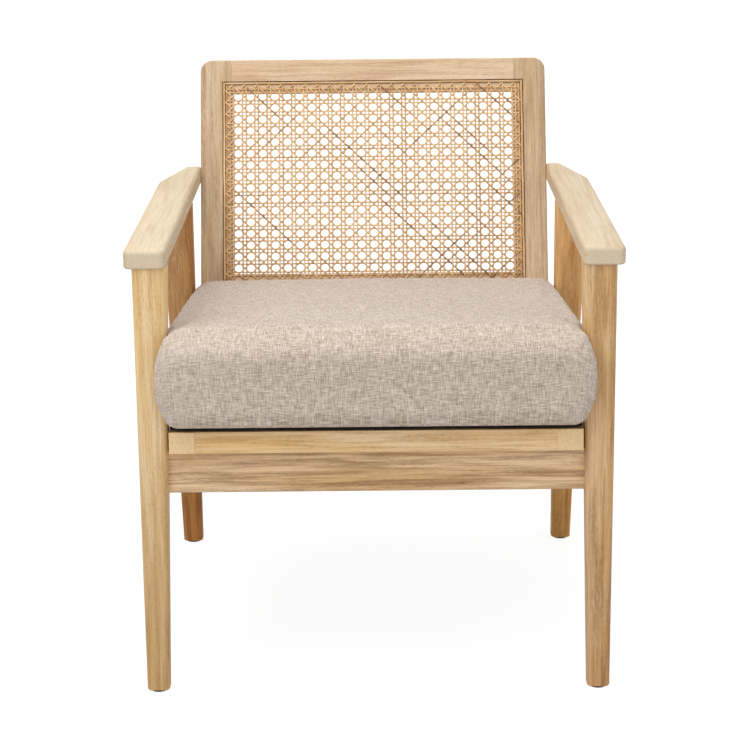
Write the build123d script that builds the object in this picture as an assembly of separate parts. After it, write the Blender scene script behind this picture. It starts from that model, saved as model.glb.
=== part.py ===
from build123d import *
import os
from math import cos, pi, radians, sin, sqrt, tan

# Occasional chair: a pale wooden frame with level armrests, a raked back with a cane panel,
# and a loose box cushion on elastic webbing. Sizes are in millimetres and degrees. The chair
# is laid out with y running back from the front face of the front legs, z up from the floor
# and x out to both sides of the middle, and is centred in y when it is written.

# Armrests
CLEAR_WIDTH = 504.0         # between the two armrests
ARM_TOP = 572.0             # height of the armrests' upper face
ARM_THICK = 24.0
ARM_WIDTH = 51.0
ARM_LENGTH = 622.0
ARM_OVERHANG = 5.0          # ahead of the front legs
ARM_TAIL = 129.0            # length of the tapered rear end
ARM_TAIL_WIDTH = 22.0
ARM_LAP = 16.3              # how far the tail runs past the back's front face
ARM_FRONT_CORNER = 9.0
ARM_TOP_EDGE = 6.0
ARM_UNDER_EDGE = 3.0

# Legs
LEG_TOP = 42.0              # square section under the armrest
LEG_FOOT = 28.5             # square section at the floor
LEG_STEP_OUT = 12.0         # how far the inner face moves outwards on its way down
LEG_CORNER = 8.0
FOOT_EDGE = 2.0
REAR_LEG_LEAD = 207.0       # from the front face of the rear leg's top back to the end of the armrest
REAR_LEG_KICK = 181.0       # how much further back the rear foot stands
GLIDE_THICK = 3.0
GLIDE_RADIUS = 10.5
NAIL_RADIUS = 1.6
NAIL_LENGTH = 16.0

# Seat frame, which tips down towards the back
SEAT_HEIGHT = 342.4         # top of the frame at its front edge
SEAT_TILT = 5.0
SEAT_RAIL_HEIGHT = 27.0
SEAT_RAIL_DEPTH = 38.0      # front and rear rails, seen from above
SIDE_RAIL_WIDTH = 32.0
SEAT_SIDE_GAP = 1.5         # between the side rails and the legs
SEAT_EDGE = 1.6
CORNER_BLOCK = 46.0
CORNER_BLOCK_HEIGHT = 18.0

# Aprons under the seat frame
APRON_HEIGHT = 53.0
APRON_THICK = 22.0
APRON_SETBACK = 12.0        # behind the front face of the legs
REAR_APRON_SETBACK = 7.0
SIDE_APRON_INSET = 3.0      # inside the outer face of the legs
APRON_EDGE = 1.6
CLEAT_WIDTH = 28.0
CLEAT_HEIGHT = 22.0
CLEAT_END_GAP = 12.0

# Raked back
BACK_RAKE = 20.3
BACK_RISE = 171.6           # up the slope, from the armrests' mid height to the top edge
BACK_THICK = 25.0
BACK_BORDER = 32.0          # plain face of the stiles and rails beside the cane
BACK_CORNER = 17.5
BACK_EDGE = 2.4
PANEL_HEIGHT = 298.4        # of the recess that holds the cane
LEDGE = 14.0                # wood behind the edge of the cane
REBATE_DEPTH = 4.0
CANE_THICK = 2.0
CANE_COLUMNS = 20
CANE_ROWS = 15
CANE_HOLE_SHARE = 0.3       # hole radius over the mesh pitch
SPLINE_WIDTH = 4.5
SPLINE_DEPTH = 5.0          # groove below the rebate
SPLINE_BELOW_FACE = 1.2

# Webbing and deck cloth
STRAP_WIDTH = 50.0
STRAP_THICK = 2.0
CROSS_STRAPS = 7
LONG_STRAPS = 5
STRAP_END_MARGIN = 5.0      # from the outer edge of the seat frame
CLOTH_THICK = 1.2
CLOTH_MARGIN = 3.0

# Loose cushion
CUSHION_EDGE_HEIGHT = 122.0
CUSHION_CROWN = 5.0
CUSHION_FRONT_CROWN = 3.0
CUSHION_CORNER = 8.0
CUSHION_SIDE_BOW = 2.0
CUSHION_WAIST = 1.0         # sides drawn in between the corners
NOSE_DEPTH = 27.0           # the part that swells out ahead of the front legs
EAR_WIDTH = 2.5             # how far the nose's edges reach past the legs' inner faces
EAR_BOW = 12.5
EAR_SHOULDER = 3.0          # length over which the nose widens
CUSHION_NOSE_ROUND = 20.0
CUSHION_REAR_ROUND = 10.0
BODY_SLICES = 8             # along the part between the armrests
END_SHARES = (1.0, 0.3, 0.0)  # steps of the rounding, from the full slice to the end
COVER_THICK = 1.5
FOAM_GAP = 0.4
ZIP_LENGTH = 390.0
ZIP_TAPE_WIDTH = 24.0
ZIP_TAPE_THICK = 0.8
ZIP_CHAIN_WIDTH = 5.0
ZIP_CHAIN_THICK = 1.8
SLIDER_LENGTH = 12.0
SLIDER_WALL = 1.6
SLIDER_TRAVEL_END = 14.0    # left free at each end of the chain
PULL_LENGTH = 22.0
PULL_WIDTH = 6.0
PULL_THICK = 1.4
PULL_EYE_RADIUS = 1.1
PULL_PIN_RADIUS = 0.5
PULL_PIN_CLEARANCE = 0.1

# Fasteners and fits
DOWEL_RADIUS = 4.0
DOWEL_IN_RAIL = 18.0
DOWEL_IN_LEG = 14.0
DOWEL_IN_ARM = 13.0
SCREW_RADIUS = 2.0
SCREW_HEAD_RADIUS = 4.0
SCREW_HEAD_HEIGHT = 2.4
SCREW_SLOT_LENGTH = 4.8
SCREW_SLOT_WIDTH = 1.0
SCREW_BITE = 14.0
BORE_CLEARANCE = 0.05
BORE_END_GAP = 0.5
DOWEL_SHARES = (0.25, 0.75)   # where a pair of dowels stands across a board
SCREW_SHARES = (0.12, 0.5, 0.88)  # where the screws stand along a cleat
FIT_GAP = 0.3               # between pieces that come apart

# Places that follow from the sizes
HALF_CLEAR = CLEAR_WIDTH / 2
ARM_UNDER = ARM_TOP - ARM_THICK
ARM_MID = ARM_TOP - ARM_THICK / 2
ARM_BACK = ARM_LENGTH - ARM_OVERHANG
BACK_SETBACK = ARM_BACK - ARM_LAP
REAR_LEG_SETBACK = ARM_BACK - REAR_LEG_LEAD
TILT = radians(SEAT_TILT)
RAKE = radians(BACK_RAKE)
SEAT = Plane(origin=(0, 0, SEAT_HEIGHT), x_dir=(1, 0, 0), z_dir=(0, sin(TILT), cos(TILT)))
BACK = Plane(origin=(0, BACK_SETBACK, ARM_MID), x_dir=(1, 0, 0), z_dir=(0, -cos(RAKE), sin(RAKE)))


def leg_share(z):
    """How far down a leg a height is: 0 under the armrest, 1 at the foot."""
    return (ARM_UNDER - z) / (ARM_UNDER - GLIDE_THICK)


def leg_inner_x(z):
    return HALF_CLEAR + LEG_STEP_OUT * leg_share(z)


def leg_size(z):
    return LEG_TOP + (LEG_FOOT - LEG_TOP) * leg_share(z)


def front_leg_y(z):
    """Front face of a front leg, which stands upright."""
    return 0.0


def rear_leg_y(z):
    """Front face of a rear leg, which kicks back to the floor."""
    return REAR_LEG_SETBACK + REAR_LEG_KICK * leg_share(z)


def seat_z(y, above=0.0):
    """Height of the sloping seat plane, or of a plane a little above it, at a depth y."""
    return SEAT_HEIGHT + above / cos(TILT) - y * tan(TILT)


def back_foot_y(behind=0.0):
    """Where a plane behind the back's front face meets the top of the seat frame, along the seat."""
    face_y = BACK_SETBACK + behind / cos(RAKE)
    y = (face_y + (SEAT_HEIGHT - ARM_MID) * tan(RAKE)) / (1 + tan(TILT) * tan(RAKE))
    return y / cos(TILT)


SEAT_HALF = leg_inner_x(SEAT_HEIGHT) - SEAT_SIDE_GAP
SIDE_RAIL_INNER = SEAT_HALF - SIDE_RAIL_WIDTH
FOOT_FRONT = back_foot_y()
FOOT_REAR = back_foot_y(BACK_THICK)
SEAT_LENGTH = FOOT_REAR + BORE_END_GAP + 3 * DOWEL_RADIUS
REAR_RAIL_FRONT = SEAT_LENGTH - SEAT_RAIL_DEPTH
APRON_TOP = seat_z(APRON_SETBACK, -SEAT_RAIL_HEIGHT)
SIDE_APRON_OUTER = leg_inner_x(APRON_TOP) + leg_size(APRON_TOP) - SIDE_APRON_INSET
SIDE_APRON_INNER = SIDE_APRON_OUTER - APRON_THICK
CLEAT_INNER = SIDE_APRON_INNER - CLEAT_WIDTH

STILE_WIDTH = BACK_BORDER + LEDGE
STILE_INNER = HALF_CLEAR - STILE_WIDTH
PANEL_HALF = HALF_CLEAR - BACK_BORDER
PANEL_TOP = BACK_RISE - BACK_BORDER
PANEL_BOTTOM = PANEL_TOP - PANEL_HEIGHT
BACK_BOTTOM = PANEL_BOTTOM - BACK_BORDER
MIDDLE_OF_BACK = -BACK_THICK / 2 - REBATE_DEPTH / 2

DECK = 2 * STRAP_THICK + CLOTH_THICK
CUSHION_FLOOR = DECK + FIT_GAP
NOSE_BACK = -(ARM_OVERHANG + FIT_GAP)
NOSE_FRONT = NOSE_BACK - NOSE_DEPTH
CUSHION_BACK = (FOOT_FRONT - FIT_GAP) * cos(TILT)
CUSHION_HALF = HALF_CLEAR - FIT_GAP - CUSHION_SIDE_BOW
TOP_EDGE_Y = (BACK_RISE - BACK_EDGE) * sin(RAKE) + (BACK_THICK - BACK_EDGE) * cos(RAKE)
CHAIR_BACK = BACK_SETBACK + TOP_EDGE_Y + BACK_EDGE
MIDDLE_Y = (NOSE_FRONT + CHAIR_BACK) / 2


def block(plane, x, y, z):
    """A box in a plane's own axes, given its low and high place along each."""
    size = (x[1] - x[0], y[1] - y[0], z[1] - z[0])
    low_corner = plane * Pos(x[0], y[0], z[0])
    return low_corner * Box(*size, align=(Align.MIN, Align.MIN, Align.MIN))


def side_board(points, x):
    """A board cut to an outline of (y, z) points, between two places in x."""
    outline = make_face(Polyline(*points, close=True))
    return extrude(Plane.YZ.offset(x[0]) * outline, x[1] - x[0])


def rod(start, end, radius):
    """A round bar from one point to another."""
    path = Vector(*end) - Vector(*start)
    return Plane(origin=start, z_dir=path) * Cylinder(
        radius, path.length, align=(Align.CENTER, Align.CENTER, Align.MIN)
    )


def dowel(pin):
    return rod(pin[0], pin[1], DOWEL_RADIUS)


def dowel_bore(pin):
    """The hole for a dowel, a little wider and longer than the dowel."""
    start = Vector(*pin[0])
    end = Vector(*pin[1])
    spare = (end - start).normalized() * BORE_END_GAP
    return rod(start - spare, end + spare, DOWEL_RADIUS + BORE_CLEARANCE)


def bored(part, pins):
    for pin in pins:
        part = part - dowel_bore(pin)
    return part


def both_sides(solids):
    """The solids of the right side with their mirror images."""
    return list(solids) + [mirror(solid, about=Plane.YZ) for solid in solids]


def rounded_edges(part, axis, radius):
    """Round every edge that runs along an axis."""
    return fillet(part.edges().filter_by(axis), radius)


def on(plane, x, y, z):
    """A point given in a plane's own axes."""
    return plane.from_local_coords(Vector(x, y, z))


# Dowel places on the right side, each as its two ends
def arm_pins(front_y):
    """Two upright dowels that pin an armrest on top of a leg."""
    middle_x = leg_inner_x(ARM_UNDER) + LEG_TOP / 2
    middle_y = front_y(ARM_UNDER) + LEG_TOP / 2
    spread = LEG_TOP / 2 - DOWEL_RADIUS - LEG_CORNER
    return [
        ((x, middle_y, ARM_UNDER - DOWEL_IN_RAIL), (x, middle_y, ARM_UNDER + DOWEL_IN_ARM))
        for x in (middle_x - spread, middle_x + spread)
    ]


def apron_heights(top):
    return [top - APRON_HEIGHT * share for share in DOWEL_SHARES]


def cross_apron_pins(front_y, setback, top):
    """Dowels from the end of a front or rear apron into a leg."""
    pins = []
    for z in apron_heights(top):
        x = leg_inner_x(z)
        y = front_y(z) + setback + APRON_THICK / 2
        pins.append(((x - DOWEL_IN_RAIL, y, z), (x + DOWEL_IN_LEG, y, z)))
    return pins


def side_apron_pins(face_y, inwards, top):
    """Dowels from the end of a side apron into a leg, whose face lies at face_y."""
    x = (SIDE_APRON_INNER + SIDE_APRON_OUTER) / 2
    pins = []
    for z in apron_heights(top):
        y = face_y(z)
        pins.append(((x, y + inwards * DOWEL_IN_RAIL, z), (x, y - inwards * DOWEL_IN_LEG, z)))
    return pins


def seat_frame_pin(y):
    """A dowel from the front or rear seat rail into a side rail."""
    z = -SEAT_RAIL_HEIGHT / 2
    start = on(SEAT, SIDE_RAIL_INNER - DOWEL_IN_RAIL, y, z)
    return (start, on(SEAT, SIDE_RAIL_INNER + DOWEL_IN_RAIL, y, z))


def back_rail_pins(low):
    """Dowels from the end of a back rail, which starts at low, into a stile."""
    pins = []
    for share in DOWEL_SHARES:
        y = low + STILE_WIDTH * share
        start = on(BACK, STILE_INNER - DOWEL_IN_RAIL, y, MIDDLE_OF_BACK)
        end = on(BACK, STILE_INNER + DOWEL_IN_RAIL, y, MIDDLE_OF_BACK)
        pins.append((start, end))
    return pins


def back_arm_pin():
    """A dowel from a stile into the tail of the armrest beside it."""
    y = (BACK_SETBACK + ARM_BACK) / 2
    return ((HALF_CLEAR - DOWEL_IN_RAIL, y, ARM_MID), (HALF_CLEAR + DOWEL_IN_ARM, y, ARM_MID))


def back_foot_pin():
    """A dowel from the foot of a stile down into the side rail."""
    x = (SIDE_RAIL_INNER + HALF_CLEAR) / 2
    y = (FOOT_FRONT + FOOT_REAR) / 2
    return (on(SEAT, x, y, -DOWEL_IN_RAIL), on(SEAT, x, y, DOWEL_IN_RAIL))


def front_leg_back_y(z):
    return leg_size(z)


SIDE_APRON_FRONT_TOP = seat_z(LEG_TOP, -SEAT_RAIL_HEIGHT)
SIDE_APRON_REAR_TOP = seat_z(rear_leg_y(seat_z(REAR_RAIL_FRONT, -SEAT_RAIL_HEIGHT)), -SEAT_RAIL_HEIGHT)
REAR_APRON_TOP = SIDE_APRON_REAR_TOP - APRON_THICK * tan(TILT)
FRONT_ARM_PINS = arm_pins(front_leg_y)
REAR_ARM_PINS = arm_pins(rear_leg_y)
FRONT_APRON_PINS = cross_apron_pins(front_leg_y, APRON_SETBACK, APRON_TOP)
REAR_APRON_PINS = cross_apron_pins(rear_leg_y, REAR_APRON_SETBACK, REAR_APRON_TOP)
SIDE_FRONT_PINS = side_apron_pins(front_leg_back_y, 1, SIDE_APRON_FRONT_TOP)
SIDE_REAR_PINS = side_apron_pins(rear_leg_y, -1, SIDE_APRON_REAR_TOP)
SEAT_FRONT_PIN = seat_frame_pin(SEAT_RAIL_DEPTH / 2)
SEAT_REAR_PIN = seat_frame_pin(SEAT_LENGTH - 2 * DOWEL_RADIUS)
TOP_RAIL_PINS = back_rail_pins(PANEL_TOP - LEDGE)
BOTTOM_RAIL_PINS = back_rail_pins(BACK_BOTTOM)
BACK_ARM_PIN = back_arm_pin()
BACK_FOOT_PIN = back_foot_pin()


def leg(front_y, pins):
    """A square leg with rounded corners that narrows to its foot."""
    sections = []
    for z in (GLIDE_THICK, ARM_UNDER):
        size = leg_size(z)
        centre = (leg_inner_x(z) + size / 2, front_y(z) + size / 2, z)
        sections.append(Plane(origin=centre) * RectangleRounded(size, size, LEG_CORNER))
    post = loft(sections, ruled=True)
    post = fillet(post.faces().sort_by(Axis.Z)[0].edges(), FOOT_EDGE)
    nail_top = (*foot_centre(front_y), GLIDE_THICK + NAIL_LENGTH + BORE_END_GAP)
    nail_hole = rod((*foot_centre(front_y), 0), nail_top, NAIL_RADIUS + BORE_CLEARANCE)
    return bored(post - nail_hole, pins)


def foot_centre(front_y):
    """Where the middle of a foot stands, as (x, y)."""
    half = LEG_FOOT / 2
    return (leg_inner_x(GLIDE_THICK) + half, front_y(GLIDE_THICK) + half)


def glide(front_y):
    """A plastic disc nailed under a foot."""
    x, y = foot_centre(front_y)
    disc = rod((x, y, 0), (x, y, GLIDE_THICK), GLIDE_RADIUS)
    nail = rod((x, y, GLIDE_THICK / 2), (x, y, GLIDE_THICK + NAIL_LENGTH), NAIL_RADIUS)
    rim = disc.edges().sort_by(Axis.Z)[0]
    return fillet(rim, GLIDE_THICK / 4) + nail


def armrest():
    """A level board whose rear end narrows beside the back."""
    outer = HALF_CLEAR + ARM_WIDTH
    outline = make_face(
        Polyline(
            (HALF_CLEAR, -ARM_OVERHANG),
            (outer, -ARM_OVERHANG),
            (outer, ARM_BACK - ARM_TAIL),
            (HALF_CLEAR + ARM_TAIL_WIDTH, ARM_BACK),
            (HALF_CLEAR, ARM_BACK),
            close=True,
        )
    )
    board = extrude(Pos(0, 0, ARM_UNDER) * outline, ARM_THICK)
    upright = board.edges().filter_by(Axis.Z)
    bend = upright.sort_by_distance((outer, ARM_BACK - ARM_TAIL, ARM_MID))[0]
    rear_outer = upright.sort_by_distance((HALF_CLEAR + ARM_TAIL_WIDTH, ARM_BACK, ARM_MID))[0]
    front = upright.group_by(Axis.Y)[0]
    board = fillet([*front, rear_outer], ARM_FRONT_CORNER)
    board = fillet(board.edges().filter_by(Axis.Z).sort_by_distance(bend.center())[0], ARM_TAIL / 2)
    board = fillet(board.faces().sort_by(Axis.Z)[-1].edges(), ARM_TOP_EDGE)
    board = fillet(board.faces().sort_by(Axis.Z)[0].edges(), ARM_UNDER_EDGE)
    return bored(board, [*FRONT_ARM_PINS, *REAR_ARM_PINS, BACK_ARM_PIN])


def between_legs(low, high):
    """The space between the inner faces of the left and right legs, over a span of heights."""
    points = [
        (-leg_inner_x(low), low),
        (leg_inner_x(low), low),
        (leg_inner_x(high), high),
        (-leg_inner_x(high), high),
    ]
    return extrude(Plane.XZ * make_face(Polyline(*points, close=True)), CHAIR_BACK, both=True)


def both_ends(pins):
    """A list of right-hand dowel places with their mirror images."""
    flipped = []
    for pin in pins:
        ends = [Vector(*end) for end in pin]
        flipped.append(tuple(Vector(-end.X, end.Y, end.Z) for end in ends))
    return [*pins, *flipped]


def cross_apron(front_y, setback, top, pins):
    """A board from left to right leg, parallel to the legs' front faces, cut to the seat's slope."""
    low = top - APRON_HEIGHT
    high = top + APRON_THICK * tan(TILT)
    points = [
        (front_y(low) + setback, low),
        (front_y(low) + setback + APRON_THICK, low),
        (front_y(high) + setback + APRON_THICK, high),
        (front_y(high) + setback, high),
    ]
    reach = leg_inner_x(low)
    board = side_board(points, (-reach, reach)) & between_legs(low, high)
    board = split(board, SEAT.offset(-SEAT_RAIL_HEIGHT), keep=Keep.BOTTOM)
    lower_edges = board.faces().sort_by(Axis.Z)[0].edges().filter_by(Axis.X)
    return bored(fillet(lower_edges, APRON_EDGE), both_ends(pins))


def side_apron():
    """A sloping board from the front leg to the rear leg."""
    top_above = -SEAT_RAIL_HEIGHT
    slope = [
        (0, seat_z(0, top_above)),
        (CHAIR_BACK, seat_z(CHAIR_BACK, top_above)),
        (CHAIR_BACK, seat_z(CHAIR_BACK, top_above) - APRON_HEIGHT),
        (0, seat_z(0, top_above) - APRON_HEIGHT),
    ]
    gap = [
        (front_leg_back_y(ARM_UNDER), ARM_UNDER),
        (rear_leg_y(ARM_UNDER), ARM_UNDER),
        (rear_leg_y(GLIDE_THICK), GLIDE_THICK),
        (front_leg_back_y(GLIDE_THICK), GLIDE_THICK),
    ]
    across = (SIDE_APRON_INNER, SIDE_APRON_OUTER)
    board = side_board(slope, across) & side_board(gap, across)
    long_edges = board.faces().sort_by(Axis.X)[-1].edges().sort_by(SortBy.LENGTH)[-2:]
    return bored(fillet(long_edges, APRON_EDGE), [*SIDE_FRONT_PINS, *SIDE_REAR_PINS])


CLEAT_FRONT = LEG_TOP + CLEAT_END_GAP
CLEAT_REAR = rear_leg_y(SEAT_HEIGHT) - CLEAT_END_GAP
CLEAT_LENGTH = CLEAT_REAR - CLEAT_FRONT
UPRIGHT_SCREW_OFFSET = 4 * SCREW_HEAD_RADIUS


def cleat_screw_places():
    """Screws through a cleat into the side apron: the head's place and the point's."""
    z = -SEAT_RAIL_HEIGHT - CLEAT_HEIGHT / 2
    places = []
    for share in SCREW_SHARES:
        y = CLEAT_FRONT + share * CLEAT_LENGTH
        places.append((on(SEAT, CLEAT_INNER, y, z), on(SEAT, SIDE_APRON_INNER + SCREW_BITE, y, z)))
    return places


def seat_screw_places():
    """Screws up through a cleat into the side rail of the seat frame."""
    x = (CLEAT_INNER + SEAT_HALF) / 2
    low = -SEAT_RAIL_HEIGHT - CLEAT_HEIGHT
    places = []
    for share in SCREW_SHARES:
        y = CLEAT_FRONT + share * CLEAT_LENGTH + UPRIGHT_SCREW_OFFSET
        places.append((on(SEAT, x, y, low), on(SEAT, x, y, SCREW_BITE - SEAT_RAIL_HEIGHT)))
    return places


def screw(place):
    """A pan-head screw with a cross slot, its head standing on the wood."""
    head_at, tip = place
    inwards = (tip - head_at).normalized()
    top = head_at - inwards * SCREW_HEAD_HEIGHT
    head = rod(head_at, top, SCREW_HEAD_RADIUS)
    far_rim = head.edges().filter_by(GeomType.CIRCLE).sort_by_distance(top)[0]
    head = fillet(far_rim, SCREW_HEAD_HEIGHT / 2)
    slot_plane = Plane(origin=top, z_dir=inwards)
    slot_size = (SCREW_SLOT_LENGTH, SCREW_SLOT_WIDTH, SCREW_HEAD_HEIGHT)
    for turn in (0, 90):
        head = head - slot_plane * Rot(0, 0, turn) * Box(*slot_size)
    return head + rod(head_at, tip, SCREW_RADIUS)


def screw_hole(place):
    head_at, tip = place
    spare = (tip - head_at).normalized() * BORE_END_GAP
    return rod(head_at - spare, tip + spare, SCREW_RADIUS + BORE_CLEARANCE)


def cleat():
    """A batten on the inside of a side apron that carries the seat frame."""
    batten = block(
        SEAT,
        (CLEAT_INNER, SIDE_APRON_INNER),
        (CLEAT_FRONT, CLEAT_REAR),
        (-SEAT_RAIL_HEIGHT - CLEAT_HEIGHT, -SEAT_RAIL_HEIGHT),
    )
    for place in [*cleat_screw_places(), *seat_screw_places()]:
        batten = batten - screw_hole(place)
    return batten


def seat_side_rail():
    """A side rail of the seat frame, whose ends show at the front and the back."""
    rail = block(SEAT, (SIDE_RAIL_INNER, SEAT_HALF), (0, SEAT_LENGTH), (-SEAT_RAIL_HEIGHT, 0))
    front_edges = rail.faces().sort_by(Axis.Y)[0].edges()
    rail = bored(fillet(front_edges, SEAT_EDGE / 2), [SEAT_FRONT_PIN, SEAT_REAR_PIN, BACK_FOOT_PIN])
    for place in seat_screw_places():
        rail = rail - screw_hole(place)
    return rail


def seat_cross_rail(front, pin):
    """The front or rear rail of the seat frame, between the side rails."""
    across = (-SIDE_RAIL_INNER, SIDE_RAIL_INNER)
    rail = block(SEAT, across, (front, front + SEAT_RAIL_DEPTH), (-SEAT_RAIL_HEIGHT, 0))
    outer_edges = rail.edges().filter_by(Axis.X).group_by(Axis.Y)[0]
    return bored(fillet(outer_edges, SEAT_EDGE), both_ends([pin]))


def corner_block(rail_face, away):
    """A three-sided block glued into a corner of the seat frame."""
    points = [
        (SIDE_RAIL_INNER, rail_face),
        (SIDE_RAIL_INNER - CORNER_BLOCK, rail_face),
        (SIDE_RAIL_INNER, rail_face + away * CORNER_BLOCK),
    ]
    outline = make_face(Polyline(*points, close=True))
    middle = -SEAT_RAIL_HEIGHT / 2
    return extrude(SEAT.offset(middle) * outline, CORNER_BLOCK_HEIGHT / 2, both=True)


def recess():
    """The rebate for the cane with the deeper groove for its splines, as the wood to cut away."""
    across = (-PANEL_HALF, PANEL_HALF)
    rebate = block(BACK, across, (PANEL_BOTTOM, PANEL_TOP), (-REBATE_DEPTH, BACK_THICK))
    deep = (-REBATE_DEPTH - SPLINE_DEPTH, 0)
    groove = block(BACK, across, (PANEL_BOTTOM, PANEL_TOP), deep)
    island = block(
        BACK,
        (SPLINE_WIDTH - PANEL_HALF, PANEL_HALF - SPLINE_WIDTH),
        (PANEL_BOTTOM + SPLINE_WIDTH, PANEL_TOP - SPLINE_WIDTH),
        deep,
    )
    return rebate + (groove - island)


def back_stile():
    """An upright of the back, from its foot on the seat frame to its rounded top corner."""
    post = block(BACK, (STILE_INNER, HALF_CLEAR), (-CHAIR_BACK, BACK_RISE), (-BACK_THICK, 0))
    post = split(post, SEAT, keep=Keep.TOP)
    top_corner = post.edges().sort_by_distance(on(BACK, HALF_CLEAR, BACK_RISE, -BACK_THICK / 2))[0]
    post = fillet(top_corner, BACK_CORNER)
    for depth in (0, -BACK_THICK):
        outer = post.edges().sort_by_distance(on(BACK, HALF_CLEAR, 0, depth))[0]
        post = fillet(outer, BACK_EDGE)
    pins = [*TOP_RAIL_PINS, *BOTTOM_RAIL_PINS, BACK_ARM_PIN, BACK_FOOT_PIN]
    return bored(post - recess(), pins)


def back_rail(low, outer_edge, pins):
    """A rail of the back between the stiles, rounded along the edge away from the cane."""
    rail = block(BACK, (-STILE_INNER, STILE_INNER), (low, low + STILE_WIDTH), (-BACK_THICK, 0))
    edges = []
    for depth in (0, -BACK_THICK):
        edges.append(rail.edges().sort_by_distance(on(BACK, 0, outer_edge, depth))[0])
    return bored(fillet(edges, BACK_EDGE) - recess(), both_ends(pins))


def cane_panel():
    """The cane mesh as one thin sheet with rows of eight-sided holes."""
    half = PANEL_HALF - SPLINE_WIDTH
    low = PANEL_BOTTOM + SPLINE_WIDTH
    high = PANEL_TOP - SPLINE_WIDTH
    pitch_x = 2 * (PANEL_HALF - LEDGE) / CANE_COLUMNS
    pitch_y = (PANEL_HEIGHT - 2 * LEDGE) / CANE_ROWS
    hole = RegularPolygon(CANE_HOLE_SHARE * min(pitch_x, pitch_y), 8, major_radius=False, rotation=22.5)
    middle = Pos(0, (low + high) / 2)
    mesh = middle * Rectangle(2 * half, high - low)
    holes = [
        (middle * place * hole).wire()
        for place in GridLocations(pitch_x, pitch_y, CANE_COLUMNS, CANE_ROWS)
    ]
    sheet = Face(mesh.wire(), holes)
    return extrude(BACK.offset(-REBATE_DEPTH) * sheet, CANE_THICK)


def spline(x, y):
    """A reed strip that wedges the edge of the cane in its groove."""
    gap = BORE_CLEARANCE
    strip = block(
        BACK,
        (x[0] + gap, x[1] - gap),
        (y[0] + gap, y[1] - gap),
        (gap - REBATE_DEPTH - SPLINE_DEPTH, -SPLINE_BELOW_FACE),
    )
    face = strip.faces().sort_by_distance(on(BACK, (x[0] + x[1]) / 2, (y[0] + y[1]) / 2, 0))[0]
    return fillet(face.edges().sort_by(SortBy.LENGTH)[-2:], SPLINE_WIDTH / 4)


def cross_straps():
    """Elastic straps from side to side on the seat frame."""
    half = SEAT_HALF - STRAP_END_MARGIN
    last = FOOT_FRONT - STRAP_END_MARGIN - STRAP_WIDTH
    step = (last - STRAP_END_MARGIN) / (CROSS_STRAPS - 1)
    straps = []
    for number in range(CROSS_STRAPS):
        start = STRAP_END_MARGIN + number * step
        straps.append(block(SEAT, (-half, half), (start, start + STRAP_WIDTH), (0, STRAP_THICK)))
    return straps


def long_straps():
    """Elastic straps from front to back, over the first ones."""
    first = STRAP_END_MARGIN + SIDE_RAIL_WIDTH - SEAT_HALF
    step = (-2 * first - STRAP_WIDTH) / (LONG_STRAPS - 1)
    along = (STRAP_END_MARGIN, FOOT_FRONT - STRAP_END_MARGIN)
    straps = []
    for number in range(LONG_STRAPS):
        left = first + number * step
        straps.append(block(SEAT, (left, left + STRAP_WIDTH), along, (STRAP_THICK, 2 * STRAP_THICK)))
    return straps


def deck_cloth():
    """The black cloth over the webbing that the cushion lies on."""
    half = SEAT_HALF - CLOTH_MARGIN
    along = (CLOTH_MARGIN, FOOT_FRONT - CLOTH_MARGIN)
    return block(SEAT, (-half, half), along, (DECK - CLOTH_THICK, DECK))


def cushion_slice(y, half, bow, crown, shrink, corner):
    """The outline of an upright slice of the cushion: flat below, bowed beside, crowned above."""
    side = half - shrink
    low = seat_z(y, CUSHION_FLOOR) + shrink
    high = seat_z(y, CUSHION_FLOOR) + CUSHION_EDGE_HEIGHT - shrink
    bulge = corner * (1 - cos(radians(45)))
    inner = side - corner
    middle = (low + high) / 2
    right = [
        ThreePointArc((inner, y, low), (side - bulge, y, low + bulge), (side, y, low + corner)),
        ThreePointArc((side, y, low + corner), (side + bow, y, middle), (side, y, high - corner)),
        ThreePointArc((side, y, high - corner), (side - bulge, y, high - bulge), (inner, y, high)),
    ]
    top = ThreePointArc((inner, y, high), (0, y, high + crown), (-inner, y, high))
    bottom = Line((-inner, y, low), (inner, y, low))
    left = [mirror(arc, about=Plane.YZ).edge() for arc in right]
    return Wire([bottom, *right, top, *left])


def rounded_end(end_y, outwards, half, bow, skin, radius):
    """Slices that round off the front or the back of the cushion, the full one first."""
    slices = []
    for share in END_SHARES:
        y = end_y - outwards * radius * share
        inset = radius * (1 - sqrt(1 - (1 - share) ** 2))
        corner = CUSHION_CORNER - skin
        slices.append(cushion_slice(y, half, bow, CUSHION_FRONT_CROWN, inset + skin, corner))
    return slices


def cushion_form(skin):
    """The whole cushion, drawn in by a skin thickness all round, as slices from front to back."""
    corner = CUSHION_CORNER - skin
    ear = leg_inner_x(SEAT_HEIGHT) + EAR_WIDTH
    nose = rounded_end(NOSE_FRONT + skin, -1, ear, EAR_BOW, skin, CUSHION_NOSE_ROUND - skin)
    front = NOSE_BACK - skin
    slices = nose[::-1]
    slices.append(cushion_slice(front - EAR_SHOULDER, ear, EAR_BOW, CUSHION_FRONT_CROWN, skin, corner))
    body_length = CUSHION_BACK - CUSHION_REAR_ROUND - front
    for number in range(BODY_SLICES):
        share = number / BODY_SLICES
        swell = sin(pi * share)
        half = CUSHION_HALF - CUSHION_WAIST * swell
        crown = CUSHION_FRONT_CROWN + (CUSHION_CROWN - CUSHION_FRONT_CROWN) * swell
        y = front + share * body_length
        slices.append(cushion_slice(y, half, CUSHION_SIDE_BOW, crown, skin, corner))
    rear_round = CUSHION_REAR_ROUND - skin
    slices += rounded_end(CUSHION_BACK - skin, 1, CUSHION_HALF, CUSHION_SIDE_BOW, skin, rear_round)
    return Solid.make_loft(slices, ruled=True)


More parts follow.
